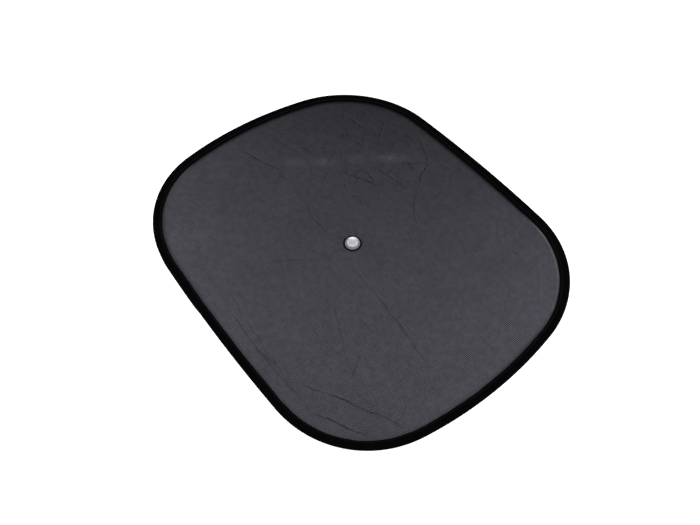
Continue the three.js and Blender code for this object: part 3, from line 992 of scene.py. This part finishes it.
# Lamps in metres and degrees: name, azimuth, watts, and whether bright metal mirrors it
LAMP_DISTANCE = 0.7
LAMP_ELEVATION = 25
LAMP_SIZE = 0.4
LAMPS = [
    ("right_lamp", 25, 4.0, False),
    ("left_lamp", 245, 3.6, False),
    ("far_lamp", 141, 0.55, True),
]

# Camera in metres
CAMERA_PLACE = (0.40305, -0.32252, 0.78424)
CAMERA_AIM = (0.0091, -0.01634, 0.00224)
CAMERA_LENS = 43.714
CAMERA_SENSOR = 36.0


def seen_by(tree, *rays):
    """Output that is 1 for the kinds of ray named and 0 for the others."""
    path = tree.nodes.new("ShaderNodeLightPath")
    seen = path.outputs[rays[0]]
    for ray in rays[1:]:
        either = tree.nodes.new("ShaderNodeMath")
        either.operation = "MAXIMUM"
        tree.links.new(seen, either.inputs[0])
        tree.links.new(path.outputs[ray], either.inputs[1])
        seen = either.outputs[0]
    return seen


def floor_look():
    """White that keeps shadows and glows a little where it is seen."""
    material = bpy.data.materials.new("studio_floor")
    material.use_nodes = True
    tree = material.node_tree
    tree.nodes.clear()
    output = tree.nodes.new("ShaderNodeOutputMaterial")
    diffuse = tree.nodes.new("ShaderNodeBsdfDiffuse")
    diffuse.inputs["Color"].default_value = FLOOR_WHITE
    strength = tree.nodes.new("ShaderNodeMath")
    strength.operation = "MULTIPLY"
    strength.inputs[1].default_value = FLOOR_GLOW
    seen = seen_by(tree, "Is Camera Ray", "Is Glossy Ray", "Is Transmission Ray")
    tree.links.new(seen, strength.inputs[0])
    glow = tree.nodes.new("ShaderNodeEmission")
    tree.links.new(strength.outputs[0], glow.inputs["Strength"])
    both = tree.nodes.new("ShaderNodeAddShader")
    tree.links.new(diffuse.outputs[0], both.inputs[0])
    tree.links.new(glow.outputs[0], both.inputs[1])
    tree.links.new(both.outputs[0], output.inputs["Surface"])
    return material


def floor_piece():
    """Wide square floor just under the shade."""
    mesh = bpy.data.meshes.new("studio_floor")
    corners = ((-1, -1), (1, -1), (1, 1), (-1, 1))
    mesh.from_pydata(
        [(x * FLOOR_REACH, y * FLOOR_REACH, FLOOR_LEVEL) for x, y in corners], [], [(0, 1, 2, 3)]
    )
    mesh.materials.append(floor_look())
    floor = bpy.data.objects.new("studio_floor", mesh)
    bpy.context.scene.collection.objects.link(floor)
    return floor


def studio_world():
    """White where the camera sees it or plastic shows it, and a dimmer light elsewhere."""
    world = bpy.data.worlds.new("studio")
    world.use_nodes = True
    tree = world.node_tree
    tree.nodes.clear()
    output = tree.nodes.new("ShaderNodeOutputWorld")
    choice = tree.nodes.new("ShaderNodeMixShader")
    tree.links.new(seen_by(tree, "Is Camera Ray", "Is Transmission Ray"), choice.inputs[0])
    for socket, strength in ((1, WORLD_LIGHT), (2, 1.0)):
        light = tree.nodes.new("ShaderNodeBackground")
        light.inputs["Color"].default_value = (1, 1, 1, 1)
        light.inputs["Strength"].default_value = strength
        tree.links.new(light.outputs[0], choice.inputs[socket])
    tree.links.new(choice.outputs[0], output.inputs["Surface"])
    return world


def lamp(name, azimuth, watts, mirrored):
    """Soft square lamp aimed at the middle of the shade."""
    turn, lift = math.radians(azimuth), math.radians(LAMP_ELEVATION)
    level = math.cos(lift)
    way = Vector((math.cos(turn) * level, math.sin(turn) * level, math.sin(lift)))
    data = bpy.data.lights.new(name, "AREA")
    data.shape = "SQUARE"
    data.size = LAMP_SIZE
    data.energy = watts
    made = bpy.data.objects.new(name, data)
    made.location = way * LAMP_DISTANCE
    made.visible_glossy = mirrored
    made.rotation_mode = "QUATERNION"
    made.rotation_quaternion = (-way).to_track_quat("-Z", "Y")
    bpy.context.scene.collection.objects.link(made)


def photo_camera():
    """Camera that stands and looks as the photo's did."""
    data = bpy.data.cameras.new("photo_camera")
    data.sensor_width = CAMERA_SENSOR
    data.lens = CAMERA_LENS
    camera = bpy.data.objects.new("photo_camera", data)
    camera.location = CAMERA_PLACE
    camera.rotation_mode = "QUATERNION"
    aim = Vector(CAMERA_AIM) - camera.location
    camera.rotation_quaternion = aim.to_track_quat("-Z", "Y")
    bpy.context.scene.collection.objects.link(camera)
    return camera


floor_piece()
scene = bpy.context.scene
scene.world = studio_world()
scene.view_settings.view_transform = "Standard"
for name, azimuth, watts, mirrored in LAMPS:
    lamp(name, azimuth, watts, mirrored)
scene.camera = photo_camera()
